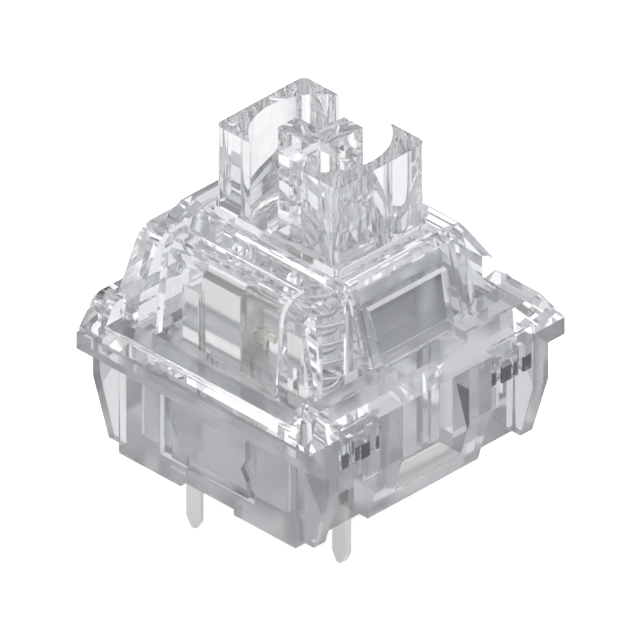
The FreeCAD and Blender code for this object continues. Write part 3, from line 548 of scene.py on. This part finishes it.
@dataclass(frozen=True)
class Metal:
    """Rolled or drawn metal with fine marks along one direction, duller on the pins.

    The pins are what lies below the underside of the base, at z = 0.
    """

    name: str
    tint: Colour
    rough_low: float
    rough_high: float
    stretch: tuple[float, float, float] = (1.0, 1.0, 0.05)
    mark_shade: float = 0.985
    pin_tint: Colour | None = None

    def material(self, groups: Groups) -> bpy.types.Material:
        """Build the material with its rolling marks.

        Args:
            groups: The shared node groups.

        Returns:
            The finished material.
        """
        draft = Draft.start(self.name)
        graph, shader = draft.graph, draft.shader
        shader.inputs["Metallic"].default_value = 1.0
        rolled = graph.add("ShaderNodeGroup", node_tree=groups.rolling)
        rolled.inputs["Stretch"].default_value = self.stretch
        graph.join(draft.place, rolled.inputs["Vector"])
        marks = rolled.outputs["Mask"]
        colour = graph.blend(marks, darker(self.tint, self.mark_shade), self.tint)
        if self.pin_tint:
            above = graph.maths("GREATER_THAN", graph.split(draft.place)["Z"], 0.0)
            colour = graph.blend(above, self.pin_tint, colour)
        graph.join(colour, shader.inputs["Base Color"])
        rough = graph.remap(marks, (0.0, 1.0), (self.rough_low, self.rough_high))
        graph.join(rough, shader.inputs["Roughness"])
        return draft.made


COVER_PLASTIC = Plastic(
    "clear_cover_plastic", (0.89, 0.898, 0.912), painted_light_regions=(*PANEL_PAINTED_LIGHT, *PRONG_END_PAINTED_SHADE)
)
STEM_PLASTIC = Plastic("clear_stem_plastic", (0.994, 0.996, 1.0), painted_light_regions=STEM_PAINTED_SHADE)
BASE_PLASTIC = Plastic(
    "frosted_base_plastic",
    (0.72, 0.731, 0.752),
    transmission=0.85,
    rough_low=0.13,
    rough_high=0.21,
    grain=0.08,
    wave_depth=0.004 * MM,
    wave_strength=0.03,
    painted_light_regions=BASE_PAINTED_LIGHT_AND_SHADE,
)
SPRING_WIRE = Metal("spring_wire", (0.78, 0.78, 0.79), 0.12, 0.25)
CONTACT_SHEET = Metal(
    "contact_sheet", (0.86, 0.857, 0.84), 0.1, 0.13, pin_tint=(0.55, 0.55, 0.543)
)
CONTACT_GOLD = Metal("contact_gold", (0.98, 0.95, 0.82), 0.3, 0.35)


# Pieces


def smooth_by_angle(mesh: bpy.types.Mesh, limit_deg: float) -> None:
    """Shade smooth, with edges sharper than an angle kept sharp."""
    mesh.shade_smooth()
    mesh.set_sharp_from_angle(angle=math.radians(limit_deg))


def tube_mesh(name: str, grid: np.ndarray, smooth_deg: float = 50.0) -> bpy.types.Mesh:
    """Closed tube from rings of points.

    Args:
        name: Name of the mesh.
        grid: Points in an array of rings by points round a ring by 3.
        smooth_deg: Angle over which an edge stays sharp.

    Returns:
        A smooth mesh whose two ends are closed by flat faces.
    """
    rings, around, _ = grid.shape
    index = np.arange(rings * around).reshape(rings, around)
    turned = np.roll(index, -1, axis=1)
    quads = np.stack([index[:-1], index[1:], turned[1:], turned[:-1]], axis=2)[:, :, ::-1]
    faces = quads.reshape(-1, 4).tolist()
    faces.append(index[0].tolist())
    faces.append(index[-1][::-1].tolist())
    mesh = bpy.data.meshes.new(name)
    mesh.from_pydata(grid.reshape(-1, 3).tolist(), [], faces)
    mesh.update()
    smooth_by_angle(mesh, smooth_deg)
    return mesh


@dataclass
class MouldedPiece:
    """A rigid piece whose edges are softened as a mould or a press leaves them."""

    node: str
    body: Body
    slot: Slot
    edge_radius: float = 0.05 * MM
    edge_deg: float = 12.0
    segments: int = 2
    flat_deg: float = 0.5
    merge_distance: float = 1e-7
    seat_level: float | None = None
    seat_gap: float = 0.015 * MM
    seat_tolerance: float = 1e-6

    def build(self, material: bpy.types.Material) -> bpy.types.Object:
        """Copy the piece's form and soften its edges.

        Args:
            material: The finish.

        Returns:
            The piece, which stands for its node.
        """
        mesh = self.form(material)
        piece = bpy.data.objects.new("shown_" + self.node, mesh)
        bpy.context.scene.collection.objects.link(piece)
        self.soften(piece)
        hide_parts(self.node)
        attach(piece, self.body.value)
        log.info("%s: %d faces before its edges are softened", piece.name, len(mesh.polygons))
        return piece

    def form(self, material: bpy.types.Material) -> bpy.types.Mesh:
        """Copy the node's mesh and join its triangles into flat faces.

        Args:
            material: The finish.

        Returns:
            The copy, smooth between its sharp edges.
        """
        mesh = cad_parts[self.node].data.copy()
        mesh.name = self.node + "_form"
        mesh.materials.clear()
        mesh.materials.append(material)
        soft = bmesh.new()
        soft.from_mesh(mesh)
        bmesh.ops.remove_doubles(soft, verts=soft.verts, dist=self.merge_distance)
        bmesh.ops.dissolve_limit(
            soft,
            angle_limit=math.radians(self.flat_deg),
            verts=soft.verts,
            edges=soft.edges,
        )
        soft.to_mesh(mesh)
        soft.free()
        for name in [a.name for a in mesh.attributes if a.name in ("custom_normal", "sharp_face")]:
            mesh.attributes.remove(mesh.attributes[name])
        if self.seat_level is not None:
            self.lift_seat(mesh)
        smooth_by_angle(mesh, self.edge_deg)
        return mesh

    def lift_seat(self, mesh: bpy.types.Mesh) -> None:
        """Leave a hair of air under the face that this piece sits on.

        Args:
            mesh: The piece's mesh.
        """
        places = np.empty(len(mesh.vertices) * 3, dtype=np.float32)
        mesh.vertices.foreach_get("co", places)
        heights = places[2::3]
        heights[np.abs(heights - self.seat_level) < self.seat_tolerance] += self.seat_gap
        mesh.vertices.foreach_set("co", places)
        mesh.update()

    def soften(self, piece: bpy.types.Object) -> None:
        """Round the edges with modifiers and keep the broad faces flat.

        Args:
            piece: The piece.
        """
        bevel = piece.modifiers.new("soft_edges", "BEVEL")
        bevel.width = self.edge_radius
        bevel.segments = self.segments
        bevel.limit_method = "ANGLE"
        bevel.angle_limit = math.radians(self.edge_deg)
        flat = piece.modifiers.new("flat_faces", "WEIGHTED_NORMAL")
        flat.mode = "FACE_AREA"
        flat.weight = 100
        flat.keep_sharp = True


@dataclass
class Casing:
    """Frosted base with the clear cover snapped onto its flange."""

    base_finish: Plastic = BASE_PLASTIC
    cover_finish: Plastic = COVER_PLASTIC
    flange_top: float = 5.85 * MM

    def build(self, groups: Groups) -> None:
        """Build the base and the cover.

        Args:
            groups: The shared node groups.
        """
        base = MouldedPiece("bottom_housing", Body.HOUSING, Slot.FROSTED_BASE)
        base.build(self.base_finish.material(groups))
        cover = MouldedPiece(
            "top_housing", Body.HOUSING, Slot.CLEAR_COVER, seat_level=self.flange_top
        )
        cover.build(self.cover_finish.material(groups))


@dataclass
class Slider:
    """Stem with its cross, dust walls and legs."""

    finish: Plastic = STEM_PLASTIC

    def build(self, groups: Groups) -> None:
        """Build the stem."""
        stem = MouldedPiece("stem", Body.SLIDER, Slot.CLEAR_STEM)
        stem.build(self.finish.material(groups))


@dataclass
class ContactBar:
    """Bar of gold alloy welded across the front of the contact leaf, in millimetres."""

    across: Range = (0.64, 1.75)
    front_back: Range = (-4.26, -4.19)
    height: Range = (7.69, 8.05)
    squareness: float = 8.0
    end_round: float = 0.03
    rings: int = 24
    around: int = 48

    def build(self, material: bpy.types.Material) -> bpy.types.Object:
        """Roll the bar onto the leaf.

        The section is a superellipse, whose half depth and half height times the root of order n
        of the cosine and of the sine of b give its points. It is carried along x, and shrinks by a
        quarter circle at each end.

        Args:
            material: The finish.

        Returns:
            The bar, which rides on the leaf.
        """
        low = np.array([self.across[0], self.front_back[0], self.height[0]]) * MM
        high = np.array([self.across[1], self.front_back[1], self.height[1]]) * MM
        middle, half = (low + high) / 2.0, (high - low) / 2.0
        u = np.sin(np.linspace(-math.pi / 2.0, math.pi / 2.0, self.rings))
        b = np.linspace(0.0, 2.0 * math.pi, self.around, endpoint=False)
        power = 2.0 / self.squareness
        depth = np.sign(np.cos(b)) * np.abs(np.cos(b)) ** power
        rise = np.sign(np.sin(b)) * np.abs(np.sin(b)) ** power
        near = np.clip((1.0 - np.abs(u)) * half[0] / (self.end_round * MM), 0.0, 1.0)
        inset = self.end_round * MM * (1.0 - np.sqrt(1.0 - (1.0 - near) ** 2))
        grid = np.empty((self.rings, self.around, 3))
        grid[:, :, 0] = middle[0] + half[0] * u[:, None]
        grid[:, :, 1] = middle[1] + (half[1] - inset[:, None]) * depth[None, :]
        grid[:, :, 2] = middle[2] + (half[2] - inset[:, None]) * rise[None, :]
        mesh = tube_mesh("contact_bar_form", grid)
        mesh.materials.append(material)
        bar = bpy.data.objects.new("contact_bar", mesh)
        bpy.context.scene.collection.objects.link(bar)
        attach(bar, Body.CONTACT_LEAF.value)
        log.info("%s: %d faces", bar.name, len(mesh.polygons))
        return bar


@dataclass
class Contacts:
    """Fixed contact, terminal and moving leaf of thin sheet, with their points and bar."""

    sheet_finish: Metal = CONTACT_SHEET
    point_finish: Metal = CONTACT_GOLD
    sheet_edge: float = 0.02 * MM
    fine_edge: float = 0.01 * MM
    bar: ContactBar = field(default_factory=ContactBar)

    def build(self, groups: Groups) -> None:
        """Build the sheet pieces, and then the points and the bar on them.

        Args:
            groups: The shared node groups.
        """
        sheet = self.sheet_finish.material(groups)
        gold = self.point_finish.material(groups)
        for node, body, edge in (
            ("fixed_contact", Body.HOUSING, self.sheet_edge),
            ("moving_terminal", Body.HOUSING, self.sheet_edge),
            ("moving_leaf", Body.CONTACT_LEAF, self.fine_edge),
        ):
            MouldedPiece(node, body, Slot.CONTACT_SHEET, edge).build(sheet)
        for node, body in (
            ("fixed_contact_point", Body.HOUSING),
            ("moving_contact_point", Body.CONTACT_LEAF),
        ):
            MouldedPiece(node, body, Slot.CONTACT_GOLD, self.fine_edge).build(gold)
        self.bar.build(gold)


@dataclass
class ReturnSpring:
    """Coil spring round the pole, with closed ends."""

    finish: Metal = SPRING_WIRE
    turns: float = 10.0
    closed_turns: float = 1.0
    wire_radius: float = 0.13 * MM
    steps_per_turn: int = 56
    wire_steps: int = 14
    stroke: float = 4.0 * MM
    low: Vector = field(default_factory=lambda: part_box("return_spring")[0])
    high: Vector = field(default_factory=lambda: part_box("return_spring")[1])

    def wound(self) -> np.ndarray:
        """Wind the wire.

        The centre line is (R cos a, R sin a, h), where a grows by one turn per unit of t and h
        rises at a low even pitch in the closed turns and at a higher one between them. The wire's
        surface is the centre line plus its radius times (cos b outwards + sin b upwards).

        Returns:
            Points in an array of rings by points round a ring by 3.
        """
        coil_radius = self.high.x - self.wire_radius
        start = self.low.z + self.wire_radius
        height = self.high.z - self.wire_radius - start
        t = np.linspace(0.0, self.turns, int(self.turns * self.steps_per_turn) + 1)
        closed = 2.0 * self.wire_radius
        knots = [0.0, self.closed_turns, self.turns - self.closed_turns, self.turns]
        rise = np.interp(t, knots, [0.0, closed, height - closed, height])
        angle = 2.0 * math.pi * t
        outward = np.stack([np.cos(angle), np.sin(angle), np.zeros_like(t)], axis=1)
        centre = outward * coil_radius
        centre[:, 2] = start + rise
        b = np.linspace(0.0, 2.0 * math.pi, self.wire_steps, endpoint=False)
        up = np.array([0.0, 0.0, 1.0])
        ring = np.cos(b)[None, :, None] * outward[:, None, :] + np.sin(b)[None, :, None] * up
        return centre[:, None, :] + self.wire_radius * ring

    def build(self, groups: Groups) -> bpy.types.Object:
        """Make the spring.

        Args:
            groups: The shared node groups.

        Returns:
            The spring, which stands for its node.
        """
        mesh = tube_mesh("spring_form", self.wound())
        mesh.materials.append(self.finish.material(groups))
        piece = bpy.data.objects.new("coil_spring", mesh)
        bpy.context.scene.collection.objects.link(piece)
        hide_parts("return_spring")
        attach(piece, Body.HOUSING.value)
        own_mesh(piece)
        log.info("%s: %d faces", piece.name, len(mesh.polygons))
        return piece


# Studio


@dataclass(frozen=True)
class Lamp:
    """Square soft lamp that points at the part, in metres and watts."""

    name: str
    place: tuple[float, float, float]
    size: float
    power: float

    def hang(self) -> None:
        """Add the lamp to the scene."""
        data = bpy.data.lights.new(self.name, "AREA")
        data.size = self.size
        data.energy = self.power
        lamp = bpy.data.objects.new(self.name, data)
        lamp.location = self.place
        lamp.rotation_euler = (-Vector(self.place)).to_track_quat("-Z", "Y").to_euler()
        bpy.context.scene.collection.objects.link(lamp)


LAMPS = (
    Lamp("key", (-0.22, -0.22, 0.20), 0.26, 0.16),
    Lamp("rim", (0.24, 0.16, 0.18), 0.22, 0.12),
    Lamp("top", (0.0, 0.0, 0.28), 0.42, 0.45),
)

# Brightness of the surroundings, from straight below at 0 to straight above at 1.
SKY_STOPS = ((0.0, 0.5), (0.48, 0.3), (0.58, 0.3), (0.66, 0.55), (0.80, 0.65), (1.0, 0.8))
SKY_BLUE = 1.01


@dataclass
class Studio:
    """Pale floor, soft lamps, pale surroundings and the camera of the photograph.

    The floor glows for the rays that show the background. For those that pass through the plastic
    or are mirrored in it, the glow is painted light: a pool that fades to dusk away from the part,
    and is stronger in the part's own shade, where it fills the shadow in.
    """

    azimuth: float = 44.928
    elevation: float = 32.785
    frame_width: float = 640.0 / 23.35 * MM
    aim_height: float = 6.0 * MM
    aim_right: float = -0.0236 * MM
    aim_up: float = 0.068 * MM
    distance: float = 80.0 * MM
    clip: Range = (1.0 * MM, 10.0)
    floor_half: float = 2.0
    floor_tint: Colour = (0.62, 0.62, 0.62)
    floor_roughness: float = 0.9
    pool: Range = (45.0 * MM, 130.0 * MM)
    dusk: float = 0.2
    seen_glow: float = 0.8
    passed_glow: float = 0.42
    shade: Range = (7.0 * MM, 15.0 * MM)
    shadow_fill_glow: float = 0.3

    def build(self) -> None:
        """Lay the floor, light it and place the camera."""
        self.floor()
        self.surroundings()
        for lamp in LAMPS:
            lamp.hang()
        self.camera()

    def camera(self) -> bpy.types.Object:
        """Place the parallel camera at the photograph's viewing angle.

        Returns:
            The camera.
        """
        a = math.radians(self.azimuth)
        e = math.radians(self.elevation)
        right = Vector((math.cos(a), math.sin(a), 0.0))
        ahead = Vector((-math.sin(a) * math.cos(e), math.cos(a) * math.cos(e), -math.sin(e)))
        up = right.cross(ahead)
        data = bpy.data.cameras.new("photo_camera")
        data.type = "ORTHO"
        data.ortho_scale = self.frame_width
        data.clip_start, data.clip_end = self.clip
        camera = bpy.data.objects.new("photo_camera", data)
        aim = Vector((0.0, 0.0, self.aim_height)) + right * self.aim_right + up * self.aim_up
        camera.location = aim - ahead * self.distance
        camera.rotation_euler = ahead.to_track_quat("-Z", "Y").to_euler()
        bpy.context.scene.collection.objects.link(camera)
        bpy.context.scene.camera = camera
        return camera

    def floor(self) -> bpy.types.Object:
        """Lay the pale floor under the pins.

        Returns:
            The floor.
        """
        half = self.floor_half
        level = CAD_BOX[0].z
        corners = [(x * half, y * half, level) for x, y in ((-1, -1), (1, -1), (1, 1), (-1, 1))]
        mesh = bpy.data.meshes.new("pale_floor")
        mesh.from_pydata(corners, [], [(0, 1, 2, 3)])
        floor = bpy.data.objects.new("pale_floor", mesh)
        bpy.context.scene.collection.objects.link(floor)
        mesh.materials.append(self.floor_material())
        return floor

    def floor_material(self) -> bpy.types.Material:
        """Build the floor's pale finish with its glow.

        Returns:
            The finished material.
        """
        draft = Draft.start("pale_floor")
        graph, shader = draft.graph, draft.shader
        shader.inputs["Base Color"].default_value = (*self.floor_tint, 1.0)
        shader.inputs["Roughness"].default_value = self.floor_roughness
        shader.inputs["Specular IOR Level"].default_value = 0.0
        shader.inputs["Emission Color"].default_value = (1.0, 1.0, 1.0, 1.0)
        reach = graph.add("ShaderNodeVectorMath", operation="LENGTH")
        graph.join(draft.place, reach.inputs[0])
        radius = reach.outputs["Value"]
        # Painted light: a pool of glow round the part, and more glow in the part's shadow, for rays
        # through or mirrored in the plastic.
        pool = graph.remap(radius, self.pool, (1.0, self.dusk), "SMOOTHSTEP")
        shade = graph.remap(radius, self.shade, (self.shadow_fill_glow, 0.0), "SMOOTHSTEP")
        seen = graph.add("ShaderNodeLightPath").outputs["Is Camera Ray"]
        seen_glow = graph.maths("MULTIPLY", seen, self.seen_glow)
        passed_glow = graph.maths("ADD", graph.maths("MULTIPLY", pool, self.passed_glow), shade)
        passed_glow = graph.maths("MULTIPLY", passed_glow, graph.shown_ray())
        glow = graph.maths("MAXIMUM", seen_glow, passed_glow)
        graph.join(glow, shader.inputs["Emission Strength"])
        return draft.made

    def surroundings(self) -> None:
        """Light the world evenly, paler above, and show it white behind the object."""
        world = bpy.data.worlds.new("soft_studio")
        bpy.context.scene.world = world
        world.use_nodes = True
        graph = Graph(world.node_tree)
        back = world.node_tree.nodes["Background"]
        direction = graph.add("ShaderNodeTexCoord").outputs["Generated"]
        ramp = graph.add("ShaderNodeValToRGB")
        height = graph.remap(graph.split(direction)["Z"], (-1.0, 1.0), (0.0, 1.0))
        graph.join(height, ramp.inputs["Fac"])
        while len(ramp.color_ramp.elements) < len(SKY_STOPS):
            ramp.color_ramp.elements.new(0.5)
        for element, (place, level) in zip(ramp.color_ramp.elements, SKY_STOPS, strict=True):
            element.position = place
            element.color = (level, level, level * SKY_BLUE, 1.0)
        seen = graph.add("ShaderNodeLightPath").outputs["Is Camera Ray"]
        shown = graph.blend(seen, ramp.outputs["Color"], (1.0, 1.0, 1.0))
        graph.join(shown, back.inputs["Color"])


CLEAR_BOUNCES = 48
OPEN_BOUNCES = 16


def follow_light(scene: bpy.types.Scene) -> None:
    """Let the light pass through all the walls of clear plastic, in plain colours.

    Args:
        scene: The scene.
    """
    scene.view_settings.view_transform = "Standard"
    scene.cycles.max_bounces = CLEAR_BOUNCES
    scene.cycles.transmission_bounces = CLEAR_BOUNCES
    scene.cycles.glossy_bounces = CLEAR_BOUNCES
    scene.cycles.transparent_max_bounces = OPEN_BOUNCES


def main() -> None:
    """Build the switch and its studio."""
    logging.basicConfig(level=logging.INFO, format="%(name)s %(message)s")
    follow_light(bpy.context.scene)
    groups = Groups(moulding_group(), rolling_group(), region_group())
    for assembly in (Casing(), Slider(), Contacts(), ReturnSpring()):
        assembly.build(groups)
    Studio().build()


if __name__ == "__main__":
    main()
